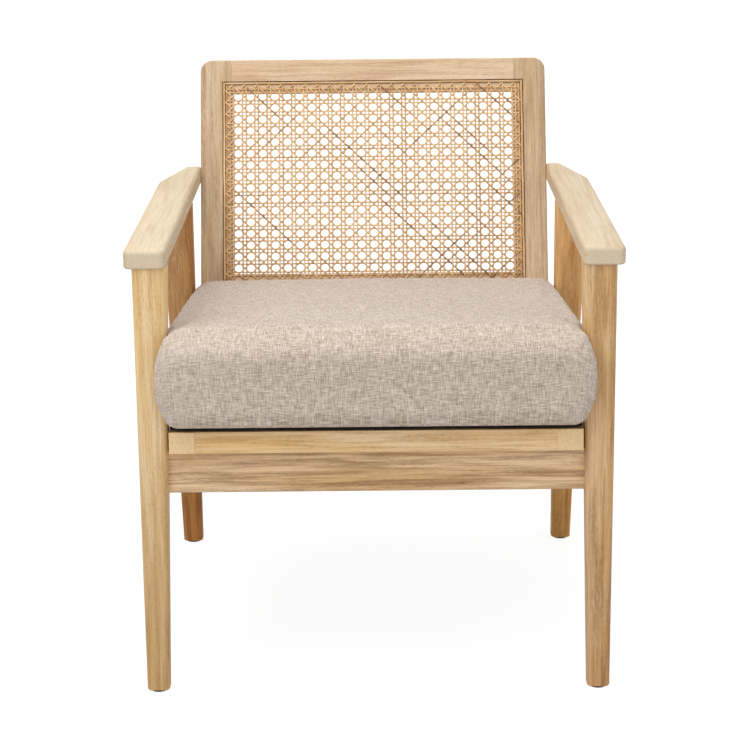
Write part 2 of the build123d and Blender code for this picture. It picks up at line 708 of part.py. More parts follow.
ZIP_Z = seat_z(CUSHION_BACK, CUSHION_FLOOR) + CUSHION_EDGE_HEIGHT / 2
TAPE_BACK = CUSHION_BACK + ZIP_TAPE_THICK
CHAIN_BACK = TAPE_BACK + ZIP_CHAIN_THICK
SLIDER_BACK = CHAIN_BACK + FIT_GAP + SLIDER_WALL
SLIDER_X = SLIDER_TRAVEL_END + SLIDER_LENGTH / 2 - ZIP_LENGTH / 2
PULL_Y = SLIDER_BACK + PULL_EYE_RADIUS + FIT_GAP


def zip_tape():
    """The woven tape of the zip, sewn to the back of the cover, with the chain along its middle."""
    tape_half = ZIP_LENGTH / 2 + SLIDER_TRAVEL_END
    height = (ZIP_Z - ZIP_TAPE_WIDTH / 2, ZIP_Z + ZIP_TAPE_WIDTH / 2)
    tape = block(Plane.XY, (-tape_half, tape_half), (CUSHION_BACK, TAPE_BACK), height)
    chain_height = (ZIP_Z - ZIP_CHAIN_WIDTH / 2, ZIP_Z + ZIP_CHAIN_WIDTH / 2)
    chain = block(Plane.XY, (-ZIP_LENGTH / 2, ZIP_LENGTH / 2), (TAPE_BACK, CHAIN_BACK), chain_height)
    return tape + chain


def upright_rod(x, y, half_height, radius):
    """An upright round bar at the height of the zip."""
    return rod((x, y, ZIP_Z - half_height), (x, y, ZIP_Z + half_height), radius)


def zip_slider():
    """The slider over the chain, with the bridge that holds its pull."""
    half = SLIDER_LENGTH / 2
    outer = ZIP_CHAIN_WIDTH / 2 + FIT_GAP + SLIDER_WALL
    inner = ZIP_CHAIN_WIDTH / 2 + FIT_GAP
    along = (SLIDER_X - half, SLIDER_X + half)
    body = block(Plane.XY, along, (TAPE_BACK + FIT_GAP, SLIDER_BACK), (ZIP_Z - outer, ZIP_Z + outer))
    body = rounded_edges(body, Axis.Y, SLIDER_WALL)
    channel = (TAPE_BACK, CHAIN_BACK + FIT_GAP)
    body = body - block(Plane.XY, along, channel, (ZIP_Z - inner, ZIP_Z + inner))
    cheek = PULL_WIDTH / 2 + FIT_GAP
    for side in (-1, 1):
        height = sorted((ZIP_Z + side * cheek, ZIP_Z + side * (cheek + SLIDER_WALL)))
        reach = (SLIDER_BACK, PULL_Y + PULL_EYE_RADIUS)
        span = (SLIDER_X - PULL_EYE_RADIUS, SLIDER_X + PULL_EYE_RADIUS)
        body = body + block(Plane.XY, span, reach, height)
    return body + upright_rod(SLIDER_X, PULL_Y, cheek + SLIDER_WALL / 2, PULL_PIN_RADIUS)


def zip_pull():
    """The pull tab, lying along the chain, with the eye that turns on the slider's pin."""
    half_width = PULL_WIDTH / 2
    tab = block(
        Plane.XY,
        (SLIDER_X, SLIDER_X + PULL_LENGTH),
        (PULL_Y - PULL_THICK / 2, PULL_Y + PULL_THICK / 2),
        (ZIP_Z - half_width, ZIP_Z + half_width),
    )
    far = tab.edges().filter_by(Axis.Y).group_by(Axis.X)[-1]
    tab = fillet(far, half_width / 2) + upright_rod(SLIDER_X, PULL_Y, half_width, PULL_EYE_RADIUS)
    tab = tab - upright_rod(SLIDER_X, PULL_Y, PULL_WIDTH, PULL_PIN_RADIUS + PULL_PIN_CLEARANCE)
    hole_x = SLIDER_X + PULL_LENGTH - half_width
    hole = rod((hole_x, PULL_Y - PULL_THICK, ZIP_Z), (hole_x, PULL_Y + PULL_THICK, ZIP_Z), half_width / 2)
    return tab - hole


def save(name, *shapes):
    """Write one node, centred front to back, with each of its pieces as a solid of its own."""
    solids = []
    for shape in shapes:
        solids.extend((Pos(0, -MIDDLE_Y, 0) * shape).solids())
    export_step(Compound(solids), f"parts/{name}.step")


def save_pair(name, right):
    """Write a piece of the right side and its mirror image on the left."""
    save(f"{name}_right", right)
    save(f"{name}_left", mirror(right, about=Plane.YZ))


os.makedirs("parts", exist_ok=True)

save_pair("front_leg", leg(front_leg_y, [*FRONT_ARM_PINS, *FRONT_APRON_PINS, *SIDE_FRONT_PINS]))
save_pair("rear_leg", leg(rear_leg_y, [*REAR_ARM_PINS, *REAR_APRON_PINS, *SIDE_REAR_PINS]))
save_pair("front_glide", glide(front_leg_y))
save_pair("rear_glide", glide(rear_leg_y))
save_pair("armrest", armrest())

save("front_apron", cross_apron(front_leg_y, APRON_SETBACK, APRON_TOP, FRONT_APRON_PINS))
save("rear_apron", cross_apron(rear_leg_y, REAR_APRON_SETBACK, REAR_APRON_TOP, REAR_APRON_PINS))
right_apron = side_apron()
for place in cleat_screw_places():
    right_apron = right_apron - screw_hole(place)
save_pair("side_apron", right_apron)
save_pair("seat_cleat", cleat())

save_pair("seat_side_rail", seat_side_rail())
save("seat_front_rail", seat_cross_rail(0, SEAT_FRONT_PIN))
save("seat_rear_rail", seat_cross_rail(REAR_RAIL_FRONT, SEAT_REAR_PIN))
right_blocks = [corner_block(SEAT_RAIL_DEPTH, 1), corner_block(REAR_RAIL_FRONT, -1)]
save("seat_corner_blocks", *both_sides(right_blocks))
save("cross_straps", *cross_straps())
save("long_straps", *long_straps())
save("deck_cloth", deck_cloth())

save_pair("back_stile", back_stile())
save("back_top_rail", back_rail(PANEL_TOP - LEDGE, BACK_RISE, TOP_RAIL_PINS))
save("back_bottom_rail", back_rail(BACK_BOTTOM, BACK_BOTTOM, BOTTOM_RAIL_PINS))
save("cane_panel", cane_panel())
inner_half = PANEL_HALF - SPLINE_WIDTH
save_pair("cane_spline", spline((inner_half, PANEL_HALF), (PANEL_BOTTOM, PANEL_TOP)))
save("cane_spline_top", spline((-inner_half, inner_half), (PANEL_TOP - SPLINE_WIDTH, PANEL_TOP)))
save("cane_spline_bottom", spline((-inner_half, inner_half), (PANEL_BOTTOM, PANEL_BOTTOM + SPLINE_WIDTH)))

save("armrest_dowels", *both_sides([dowel(pin) for pin in FRONT_ARM_PINS + REAR_ARM_PINS]))
apron_pins = FRONT_APRON_PINS + REAR_APRON_PINS + SIDE_FRONT_PINS + SIDE_REAR_PINS
save("apron_dowels", *both_sides([dowel(pin) for pin in apron_pins]))
save("seat_frame_dowels", *both_sides([dowel(SEAT_FRONT_PIN), dowel(SEAT_REAR_PIN)]))
save("back_frame_dowels", *both_sides([dowel(pin) for pin in TOP_RAIL_PINS + BOTTOM_RAIL_PINS]))
save("back_fixing_dowels", *both_sides([dowel(BACK_ARM_PIN), dowel(BACK_FOOT_PIN)]))
save("cleat_screws", *both_sides([screw(place) for place in cleat_screw_places()]))
save("seat_screws", *both_sides([screw(place) for place in seat_screw_places()]))

save("cushion_cover", cushion_form(0) - cushion_form(COVER_THICK))
save("cushion_foam", cushion_form(COVER_THICK + FOAM_GAP))
save("zip_tape", zip_tape())
save("zip_slider", zip_slider())
save("zip_pull", zip_pull())
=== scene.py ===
from math import ceil, cos, exp, pi, radians, sin, sqrt

import bmesh
import bpy
from mathutils import Matrix, Vector


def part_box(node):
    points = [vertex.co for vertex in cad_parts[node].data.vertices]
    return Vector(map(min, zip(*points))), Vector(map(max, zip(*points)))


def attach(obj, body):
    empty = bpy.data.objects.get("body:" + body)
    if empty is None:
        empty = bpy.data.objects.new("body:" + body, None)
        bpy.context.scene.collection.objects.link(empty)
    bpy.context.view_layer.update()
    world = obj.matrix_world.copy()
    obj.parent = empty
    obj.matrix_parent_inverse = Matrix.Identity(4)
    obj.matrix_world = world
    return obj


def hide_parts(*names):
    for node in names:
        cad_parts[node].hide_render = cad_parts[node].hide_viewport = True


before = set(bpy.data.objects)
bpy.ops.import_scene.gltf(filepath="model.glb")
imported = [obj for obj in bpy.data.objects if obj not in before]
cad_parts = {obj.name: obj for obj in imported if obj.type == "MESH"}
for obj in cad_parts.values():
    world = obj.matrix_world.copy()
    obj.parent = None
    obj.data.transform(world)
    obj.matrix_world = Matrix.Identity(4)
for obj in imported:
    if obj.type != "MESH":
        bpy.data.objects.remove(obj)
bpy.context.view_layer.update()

# Front and rear legs
# Four solid legs of a pale hardwood, sanded round at the corners and rubbed with a thin chalky
# wash, so that golden streaks show through. The rear pair is warmer wood and kicks backwards.
# Each leg is painted darker towards the floor, which is painted shade, and the front legs' pale
# tones are partly painted light, lifting their upper parts out of the armrests' shade.


class Shade:
    """A socket in a material: sums on it add Math nodes, and node() adds any other node."""

    def __init__(self, socket):
        self.socket = socket
        self.tree = socket.id_data

    def node(self, kind, settings, sockets, output=0):
        made = self.tree.nodes.new(kind)
        for name, value in settings.items():
            setattr(made, name, value)
        for name, value in sockets.items():
            if isinstance(value, Shade):
                self.tree.links.new(value.socket, made.inputs[name])
            else:
                made.inputs[name].default_value = value
        return Shade(made.outputs[output])

    def maths(self, operation, first, second=0.0):
        return self.node("ShaderNodeMath", {"operation": operation}, {0: first, 1: second})

    def __add__(self, other):
        return self.maths("ADD", self, other)

    def __radd__(self, other):
        return self.maths("ADD", other, self)

    def __sub__(self, other):
        return self.maths("SUBTRACT", self, other)

    def __rsub__(self, other):
        return self.maths("SUBTRACT", other, self)

    def __mul__(self, other):
        return self.maths("MULTIPLY", self, other)

    def __rmul__(self, other):
        return self.maths("MULTIPLY", other, self)


def rgb(red, green, blue):
    """A colour as a screen shows it, from 0 to 255, turned into light."""
    return (*[(part / 255) ** 2.2 for part in (red, green, blue)], 1.0)


def material_of(name):
    """A new material and a Shade on its Object coordinates."""
    material = bpy.data.materials.new(name)
    material.use_nodes = True
    coordinates = material.node_tree.nodes.new("ShaderNodeTexCoord")
    return material, Shade(coordinates.outputs["Object"])


def paint(material, sockets):
    """Set or link the sockets of a material's main shader."""
    shader = material.node_tree.nodes["Principled BSDF"]
    for name, value in sockets.items():
        if isinstance(value, Shade):
            material.node_tree.links.new(value.socket, shader.inputs[name])
        else:
            shader.inputs[name].default_value = value


def mapped(place, scale=(1, 1, 1), rotation=(0, 0, 0), location=(0, 0, 0)):
    sockets = {"Vector": place, "Scale": scale, "Rotation": rotation, "Location": location}
    return place.node("ShaderNodeMapping", {}, sockets)


def along_grain(place, grain, location=(0, 0, 0)):
    """Coordinates turned so that X runs along the grain."""
    turn = Vector(grain).to_track_quat("X", "Z").inverted().to_euler()
    return mapped(place, rotation=turn, location=location)


def noise(place, scale, detail=2.0, distortion=0.0):
    """Cloudy values from 0 to 1; scale is the number of clouds in a metre along each axis."""
    sockets = {"Vector": mapped(place, scale), "Scale": 1.0, "Detail": detail, "Distortion": distortion}
    return place.node("ShaderNodeTexNoise", {}, sockets)


def ramp(value, low, high):
    """0 below low, 1 above high, and smooth between."""
    settings = {"interpolation_type": "SMOOTHSTEP"}
    return value.node("ShaderNodeMapRange", settings, {"Value": value, "From Min": low, "From Max": high})


def mixed(share, first, second):
    """One colour turning into another."""
    return share.node("ShaderNodeMix", {"data_type": "RGBA"}, {0: share, 6: first, 7: second}, output=2)


def bumped(height, strength, distance):
    sockets = {"Height": height, "Strength": strength, "Distance": distance}
    return height.node("ShaderNodeBump", {}, sockets)


def washed_wood(name, grain, pale, golden, streak, seed, pore=rgb(124, 80, 36), floor_shade=None):
    """Hardwood with fibres along the grain, dark pores, a chalky wash and plain end grain.

    A leg can also be given a tint of painted shade, which darkens its lower half towards the floor.
    """
    material, place = material_of(name)
    board = along_grain(place, grain, location=(0.37 * seed, 0.113 * seed, 0.071 * seed))
    figure = noise(board, (2.6, 24, 24), detail=3, distortion=0.8)
    bands = noise(board, (6, 110, 110), detail=4, distortion=0.5)
    fibres = noise(board, (14, 430, 430), detail=3)
    pores = ramp(noise(board, (170, 900, 900), detail=1), 0.55, 0.68)
    long_pores = ramp(noise(board, (40, 560, 560), detail=2), 0.6, 0.72)
    chalk = ramp(noise(board, (90, 760, 760), detail=2), 0.54, 0.68)
    wash = noise(board, (8, 15, 15), detail=4)
    colour = mixed(ramp(figure, 0.36, 0.64), pale, golden)
    colour = mixed(ramp(bands, 0.44, 0.68) * 0.55, colour, streak)
    colour = mixed(ramp(fibres, 0.42, 0.7) * 0.45, colour, streak)
    pore_share = (pores * 0.5 + long_pores * 0.5) * ramp(bands, 0.3, 0.6)
    colour = mixed(pore_share * 0.5, colour, pore)
    colour = mixed(chalk * ramp(wash, 0.35, 0.65) * 0.35, colour, rgb(244, 226, 196))
    colour = mixed(ramp(wash, 0.45, 0.75) * 0.15, colour, rgb(232, 208, 174))
    normal = Shade(place.socket.node.outputs["Normal"])
    facing = place.node("ShaderNodeVectorMath", {"operation": "DOT_PRODUCT"},
                        {0: normal, 1: tuple(Vector(grain).normalized())}, output=1)
    end_grain = ramp(facing.maths("ABSOLUTE", facing), 0.72, 0.95)
    speckle = noise(board, (300, 420, 420), detail=3)
    end_colour = mixed(ramp(speckle, 0.35, 0.75) * 0.35, pale, streak)
    colour = mixed(end_grain * 0.9, colour, end_colour)
    # Painted shade: the colour is multiplied darker towards the floor, where less light reaches the leg.
    if floor_shade:
        upwards = place.node("ShaderNodeSeparateXYZ", {}, {"Vector": place}, output=2)
        painted_low_shade = 1 - ramp(upwards, FOOT_SHADE_LOW, FOOT_SHADE_HIGH)
        colour = place.node("ShaderNodeMix", {"data_type": "RGBA", "blend_type": "MULTIPLY"},
                            {0: painted_low_shade, 6: colour, 7: (*floor_shade, 1)}, output=2)
    height = fibres * 0.4 - pore_share
    paint(material, {
        "Base Color": colour,
        "Roughness": 0.5 + 0.16 * fibres,
        "Normal": bumped(height, 0.25, 0.0005),
        "Specular IOR Level": 0.3,
    })
    return material


def dress(node, material):
    """Put a material on a CAD node."""
    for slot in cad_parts[node].material_slots:
        slot.material = material


UPRIGHT = (0, 0, 1)
FOOT_SHADE_LOW = 0.05
FOOT_SHADE_HIGH = 0.5
LEG_WIDTH = 0.042
leg_low, leg_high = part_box("rear_leg_right")
leg_lean = (0, leg_low.y + LEG_WIDTH / 2 - (leg_high.y - LEG_WIDTH / 3), leg_high.z - leg_low.z)
# The front legs' tones are partly painted light: paler, to lift the upper legs out of the armrests' shade.
front_left_wood_and_light = (rgb(252, 230, 192), rgb(244, 208, 148), rgb(208, 164, 104))
front_right_wood_and_light = (rgb(236, 201, 155), rgb(221, 177, 121), rgb(163, 115, 63))
rear_left_tones = (rgb(212, 164, 112), rgb(198, 144, 88), rgb(144, 92, 46))
rear_right_tones = (rgb(246, 198, 138), rgb(232, 178, 112), rgb(170, 114, 60))
# Tints of painted shade for the lower legs, strongest at the floor.
front_left_floor_shade = (0.71, 0.63, 0.55)
front_right_floor_shade = (0.84, 0.78, 0.74)
rear_left_floor_shade = (0.86, 0.66, 0.38)
rear_right_floor_shade = (1.0, 0.86, 0.6)
dress("front_leg_left", washed_wood("leg_wood_front_left", UPRIGHT, *front_left_wood_and_light, 1, floor_shade=front_left_floor_shade))
dress("front_leg_right", washed_wood("leg_wood_front_right", UPRIGHT, *front_right_wood_and_light, 2, floor_shade=front_right_floor_shade))
dress("rear_leg_left", washed_wood("leg_wood_rear_left", leg_lean, *rear_left_tones, 3, floor_shade=rear_left_floor_shade))
rear_right_wood = washed_wood("leg_wood_rear_right", leg_lean, *rear_right_tones, 4, floor_shade=rear_right_floor_shade)
dress("rear_leg_right", rear_right_wood)

# Glides
# Black nylon discs, each on a nail driven into the foot. They are moulded with a fine matt
# skin that scuffs grey where it slides on the floor.
nylon, nylon_place = material_of("glide_nylon")
nylon_skin = noise(nylon_place, (1800, 1800, 1800), detail=2)
nylon_scuff = ramp(noise(nylon_place, (260, 260, 260), detail=3), 0.55, 0.7)
paint(nylon, {
    "Base Color": mixed(nylon_scuff * 0.5, rgb(26, 26, 27), rgb(70, 69, 67)),
    "Roughness": 0.5 + 0.25 * nylon_scuff,
    "Normal": bumped(nylon_skin, 0.2, 0.0002),
})
for end in ("front", "rear"):
    for side in ("left", "right"):
        dress(f"{end}_glide_{side}", nylon)

# Aprons, cleats and their screws
# Flat boards dowelled between the legs, with a batten screwed to the inside of each side
# board to carry the seat frame. The front board has duller, browner grain than the legs.
ACROSS = (1, 0, 0)
SEAT_TILT = radians(5)
ALONG_SEAT = (0, cos(SEAT_TILT), -sin(SEAT_TILT))
apron_tones = (rgb(242, 208, 166), rgb(222, 181, 130), rgb(130, 88, 46))
dress("front_apron", washed_wood("apron_wood_front", ACROSS, *apron_tones, seed=5))
dress("rear_apron", washed_wood("apron_wood_rear", ACROSS, *apron_tones, seed=6))
for seed, side in enumerate(("left", "right"), 7):
    dress(f"side_apron_{side}", washed_wood(f"apron_wood_{side}", ALONG_SEAT, *apron_tones, seed=seed))
    dress(f"seat_cleat_{side}", washed_wood(f"cleat_wood_{side}", ALONG_SEAT, *apron_tones, seed=seed + 20))

zinc, zinc_place = material_of("screw_zinc")
zinc_cloud = noise(zinc_place, (900, 900, 900), detail=3)
paint(zinc, {
    "Base Color": mixed(zinc_cloud, rgb(196, 192, 180), rgb(150, 148, 142)),
    "Metallic": 1.0,
    "Roughness": 0.28 + 0.2 * zinc_cloud,
})
for node in ("cleat_screws", "seat_screws"):
    dress(node, zinc)

# Seat frame
# A glued frame of four rails with a block in each corner, dropped between the legs and tipped
# back. The ends of the side rails show as paler squares beside the front rail.
rail_tones = (rgb(248, 217, 170), rgb(241, 200, 141), rgb(202, 152, 90))
dress("seat_front_rail", washed_wood("rail_wood_front", ACROSS, *rail_tones, seed=11))
dress("seat_rear_rail", washed_wood("rail_wood_rear", ACROSS, *rail_tones, seed=12))
for seed, side in enumerate(("left", "right"), 13):
    dress(f"seat_side_rail_{side}", washed_wood(f"rail_wood_{side}", ALONG_SEAT, *rail_tones, seed=seed))
dress("seat_corner_blocks", washed_wood("corner_block_wood", ACROSS, *rail_tones, seed=15))

# Armrests
# Two level boards dowelled on top of the legs, with rounded edges and a tail that narrows
# beside the back. They are a creamier tone than the legs, with the wash the same all over.
BACKWARDS = (0, 1, 0)
arm_tones = (rgb(220, 203, 176), rgb(214, 193, 160), rgb(196, 170, 136))
arm_pore = rgb(178, 148, 114)
for seed, side in enumerate(("left", "right"), 17):
    dress(f"armrest_{side}", washed_wood(f"armrest_wood_{side}", BACKWARDS, *arm_tones, seed, arm_pore))

# Back frame
# Two raked stiles with rounded top corners and two rails butted between them, with a rebate
# along the inner edge for the cane. The wood is a duller beige than the legs.
BACK_RAKE = radians(20.3)
UP_BACK = (0, sin(BACK_RAKE), cos(BACK_RAKE))
stile_tones = (rgb(208, 182, 150), rgb(194, 164, 128), rgb(154, 122, 90))
top_tones = (rgb(222, 194, 164), rgb(212, 182, 148), rgb(178, 144, 110))
back_pore = rgb(130, 98, 68)
for seed, side in enumerate(("left", "right"), 19):
    dress(f"back_stile_{side}", washed_wood(f"stile_wood_{side}", UP_BACK, *stile_tones, seed, back_pore))
dress("back_top_rail", washed_wood("back_wood_top", ACROSS, *top_tones, 22, back_pore))
dress("back_bottom_rail", washed_wood("back_wood_bottom", ACROSS, *top_tones, 23, back_pore))

# Dowels
# Turned beech pins glued into the legs, rails and stiles. They are hidden once the chair is
# together, and are fluted along their length.
beech_tones = (rgb(226, 194, 152), rgb(214, 178, 134), rgb(186, 146, 104))
beech = washed_wood("dowel_beech", ACROSS, *beech_tones, seed=25)
beech_upright = washed_wood("dowel_beech_upright", UPRIGHT, *beech_tones, seed=26)
for node in ("apron_dowels", "seat_frame_dowels", "back_frame_dowels"):
    dress(node, beech)
for node in ("armrest_dowels", "back_fixing_dowels"):
    dress(node, beech_upright)

# Cane panel
# Sheet cane woven six ways: pairs of upright and level strands with single strands both ways
# on the slant, which leaves rows of eight-sided holes. It is pressed into the groove wet.
cane_low, cane_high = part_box("cane_panel")
CANE_THICK = 0.002
CANE_COLUMNS = 23
CANE_ROWS = 16
LEDGE = 0.014
GROOVE = 0.0045
STRAND_WIDTH = 0.0018
STRAND_THICK = 0.00065
STRAND_CROWN = 0.00015
STRAND_STEP = 0.003
STRAND_LEAST = 0.93
STRAND_VARIES = 0.14
BORDER_NUMBER = 71
LEVEL_NUMBER = 101
SLANT_NUMBER = 211
PAIR_SHARE = 0.146
PAIR_RISE = 0.0005
SLANT_RISE = 0.0008
TUCK = 0.0012
TUCK_DEPTH = 0.003
panel = Matrix.Translation((cane_low + cane_high) / 2) @ Matrix.Rotation(pi / 2 - BACK_RAKE, 4, "X")
cane_half = (cane_high.x - cane_low.x) / 2
cane_length = (cane_high.z - cane_low.z - CANE_THICK * sin(BACK_RAKE)) / cos(BACK_RAKE)
reach_x = cane_half + TUCK
reach_y = cane_length / 2 + TUCK
pitch_x = 2 * (cane_half + GROOVE - LEDGE) / CANE_COLUMNS
pitch_y = (cane_length + 2 * GROOVE - 2 * LEDGE) / CANE_ROWS


def piece_of(name, shape):
    """A finished bmesh turned into a piece of the scene."""
    mesh = bpy.data.meshes.new(name)
    shape.to_mesh(mesh)
    shape.free()
    piece = bpy.data.objects.new(name, mesh)
    bpy.context.scene.collection.objects.link(piece)
    return piece


def thickened(piece, name, thickness):
    """Give a piece that is one layer of faces its thickness, half to either side."""
    wall = piece.modifiers.new(name, "SOLIDIFY")
    wall.thickness = thickness
    wall.offset = 0


def scattered(number):
    """A fixed value from 0 to 1 that looks random."""
    value = sin(number * 12.9898 + 4.1414) * 43758.5453
    return value - int(value // 1)


def column_wave(x):
    return 2 * pi * (x / pitch_x - 0.5)


def row_wave(y):
    return 2 * pi * y / pitch_y


def strand(cane, start, end, height, number):
    """Lay one flat strand from start to end in the panel's plane, rising and dipping by height."""
    run = Vector(end) - Vector(start)
    middle = (Vector(start) + Vector(end)) / 2
    along = run.normalized()
    width = STRAND_WIDTH * (STRAND_LEAST + STRAND_VARIES * scattered(number + 0.5))
    turn = Matrix.Rotation(-Vector((1, 0)).angle_signed(along), 4, "Z")
    place = Matrix.Translation((*middle, 0)) @ turn
    size = Matrix.Diagonal((run.length / 2, width / 2, 1, 1))
    steps = max(2, ceil(run.length / STRAND_STEP))
    made = bmesh.ops.create_grid(cane, x_segments=steps, y_segments=2, size=1, matrix=place @ size)
    tone = cane.verts.layers.float["strand"]
    for point in made["verts"]:
        x, y, _ = point.co
        offset = (point.co.xy - middle).cross(along)
        edge = max(abs(x) - cane_half, abs(y) - cane_length / 2, 0)
        crown = STRAND_CROWN * (1 - (2 * offset / width) ** 2)
        point.co.z = height(x, y) + crown - TUCK_DEPTH * min(1, edge / TUCK)
        point[tone] = scattered(number)


def cane_finish(name, grain, brown_share):
    """Split rattan: honey-coloured, glossy bark, with some brown lengths and fine lines along it."""
    material, place = material_of(name)
    length_wise = along_grain(place, grain)
    attribute = place.node("ShaderNodeAttribute", {"attribute_name": "strand"}, {}, output=2)
    lines = noise(length_wise, (40, 1900, 1900), detail=2)
    patches = noise(length_wise, (6, 70, 70), detail=2)
    colour = mixed(ramp(attribute, 0.1, 0.9), rgb(233, 197, 148), rgb(217, 171, 114))
    colour = mixed(ramp(lines, 0.4, 0.75) * 0.5, colour, rgb(184, 132, 82))
    brown = ramp(attribute, 0.5, 0.75) * ramp(patches, 0.5, 0.58)
    colour = mixed(brown * brown_share, colour, rgb(112, 72, 38))
    paint(material, {
        "Base Color": colour,
        "Roughness": 0.36 + 0.2 * lines,
        "Normal": bumped(lines, 0.25, 0.0003),
        "Coat Weight": 0.15,
        "Coat Roughness": 0.3,
    })
    return material


def weave(name, grain, brown_share, lay):
    """One set of strands as a piece, laid flat by lay() and then raised into the back."""
    cane = bmesh.new()
    cane.verts.layers.float.new("strand")
    lay(cane)
    bmesh.ops.transform(cane, matrix=panel, verts=cane.verts)
    piece = piece_of(name, cane)
    piece.data.materials.append(cane_finish(f"{name}_rattan", grain, brown_share))
    thickened(piece, "strand_thickness", STRAND_THICK)
    for face in piece.data.polygons:
        face.use_smooth = True
    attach(piece, "frame")
    return piece


def lay_uprights(cane):
    count = CANE_COLUMNS // 2 + 1
    for pair in range(-count, count):
        for member in (-1, 1):
            x = (pair + 0.5 + member * PAIR_SHARE) * pitch_x
            strand(cane, (x, -reach_y), (x, reach_y),
                   lambda x, y, member=member: PAIR_RISE * member * sin(row_wave(y)), pair * 2 + member)
    for side in (-1, 1):
        border = side * (cane_half - STRAND_WIDTH)
        strand(cane, (border, -reach_y), (border, reach_y),
               lambda x, y: PAIR_RISE * sin(2 * row_wave(y)), BORDER_NUMBER + side)


def lay_levels(cane):
    count = CANE_ROWS // 2
    for pair in range(-count, count + 1):
        for member in (-1, 1):
            y = (pair + member * PAIR_SHARE) * pitch_y
            strand(cane, (-reach_x, y), (reach_x, y),
                   lambda x, y, member=member: -PAIR_RISE * member * sin(column_wave(x)),
                   LEVEL_NUMBER + pair * 2 + member)


def lay_slants(way):
    def lay(cane):
        far = ceil(reach_x / pitch_x + reach_y / pitch_y)
        for number in range(-far, far + 1):
            top = way * (number + reach_y / pitch_y) * pitch_x
            bottom = way * (number - reach_y / pitch_y) * pitch_x
            ends = []
            for x, y in ((bottom, -reach_y), (top, reach_y)):
                clipped = min(max(x, -reach_x), reach_x)
                ends.append((clipped, (way * clipped / pitch_x - number) * pitch_y))
            (x0, y0), (x1, y1) = ends
            if abs(x1 - x0) < STRAND_STEP:
                continue
            strand(cane, (x0, y0), (x1, y1),
                   lambda x, y: way * SLANT_RISE * cos(column_wave(x)), SLANT_NUMBER + number * 3 + way)
    return lay


up_slope = Vector(UP_BACK)
level = Vector(ACROSS)
uprights = weave("cane_uprights", UP_BACK, 0.35, lay_uprights)
weave("cane_levels", ACROSS, 0.35, lay_levels)
weave("cane_slants_rising", level + up_slope, 0.85, lay_slants(1))
weave("cane_slants_falling", level - up_slope, 0.85, lay_slants(-1))
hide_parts("cane_panel")

# Reed splines
# Strips of split reed hammered into the groove over the edge of the cane. They are a little
# narrower than the groove, which shows as a dark line on either side.
SPLINE_WIDTH = 0.0029
SPLINE_HEIGHT = 0.006
SPLINE_SHIFT = 0.0002
SPLINE_TOP = 0.0018
SPLINE_ROUND = 0.4          # share of the width that each upper edge is rounded over
SPLINE_CUTS = 40


def reed_finish(name, grain):
    material, place = material_of(name)
    length_wise = along_grain(place, grain)
    fibres = noise(length_wise, (18, 1500, 1500), detail=3)
    patches = noise(length_wise, (9, 40, 40), detail=2)
    colour = mixed(ramp(patches, 0.35, 0.7), rgb(230, 196, 152), rgb(208, 166, 116))
    colour = mixed(ramp(fibres, 0.45, 0.8) * 0.45, colour, rgb(166, 118, 72))
    paint(material, {
        "Base Color": colour,
        "Roughness": 0.42 + 0.2 * fibres,
        "Normal": bumped(fibres, 0.25, 0.0003),
    })
    return material


def reed(name, centre, length, turn, grain):
    """One strip: a bar with its upper edges rounded over, wavering slightly along its length."""
    strip = bmesh.new()
    size = Matrix.Diagonal((length, SPLINE_WIDTH, SPLINE_HEIGHT, 1))
    bmesh.ops.create_cube(strip, size=1, matrix=size)
    upper = [edge for edge in strip.edges if all(v.co.z > 0 for v in edge.verts)]
    long_edges = [edge for edge in upper if abs(edge.verts[0].co.x - edge.verts[1].co.x) > length / 2]
    bmesh.ops.bevel(strip, geom=long_edges, offset=SPLINE_WIDTH * SPLINE_ROUND, offset_type="OFFSET",
                    segments=4, profile=0.5, affect="EDGES", material=-1)
    lengthwise = [edge for edge in strip.edges if abs(edge.verts[0].co.x - edge.verts[1].co.x) > length / 2]
    bmesh.ops.subdivide_edges(strip, edges=lengthwise, cuts=SPLINE_CUTS, use_grid_fill=True)
    for point in strip.verts:
        point.co.y += 0.00012 * sin(point.co.x * 61) + 0.00008 * sin(point.co.x * 143)
        point.co.z += 0.00015 * sin(point.co.x * 47 + 1)
    place = Matrix.Translation((*centre, SPLINE_TOP - SPLINE_HEIGHT / 2)) @ Matrix.Rotation(turn, 4, "Z")
    bmesh.ops.transform(strip, matrix=panel @ place, verts=strip.verts)
    piece = piece_of(name, strip)
    for face in piece.data.polygons:
        face.use_smooth = True
    piece.data.materials.append(reed_finish(f"{name}_finish", grain))
    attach(piece, "frame")
    return piece


groove_x = cane_half + GROOVE / 2 - SPLINE_SHIFT
groove_y = cane_length / 2 + GROOVE / 2 - SPLINE_SHIFT
for side, sign in (("left", -1), ("right", 1)):
    strip = reed(f"reed_spline_{side}", (sign * groove_x, 0), 2 * groove_y + SPLINE_WIDTH, pi / 2, UP_BACK)
    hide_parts(f"cane_spline_{side}")
for end, sign in (("bottom", -1), ("top", 1)):
    strip = reed(f"reed_spline_{end}", (0, sign * groove_y), 2 * groove_x - SPLINE_WIDTH, 0, ACROSS)
    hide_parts(f"cane_spline_{end}")

# Webbing
# Black elastic straps tacked over the seat frame, seven across and five from front to back,
# threaded over and under each other. The rubber threads make fine ribs along each strap.
cross_low, cross_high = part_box("cross_straps")
long_low, long_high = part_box("long_straps")
STRAP_WIDTH = 0.05
STRAP_THICK = 0.0016
STRAP_RISE = 0.001
CROSS_STRAPS = 7
LONG_STRAPS = 5
CELLS_ALONG_STRAP = 72
CELLS_ACROSS_STRAP = 4
seat_length = (cross_high.y - cross_low.y) / cos(SEAT_TILT)
deck_centre = (cross_low + cross_high) / 2
deck = Matrix.Translation(deck_centre) @ Matrix.Rotation(-SEAT_TILT, 4, "X")


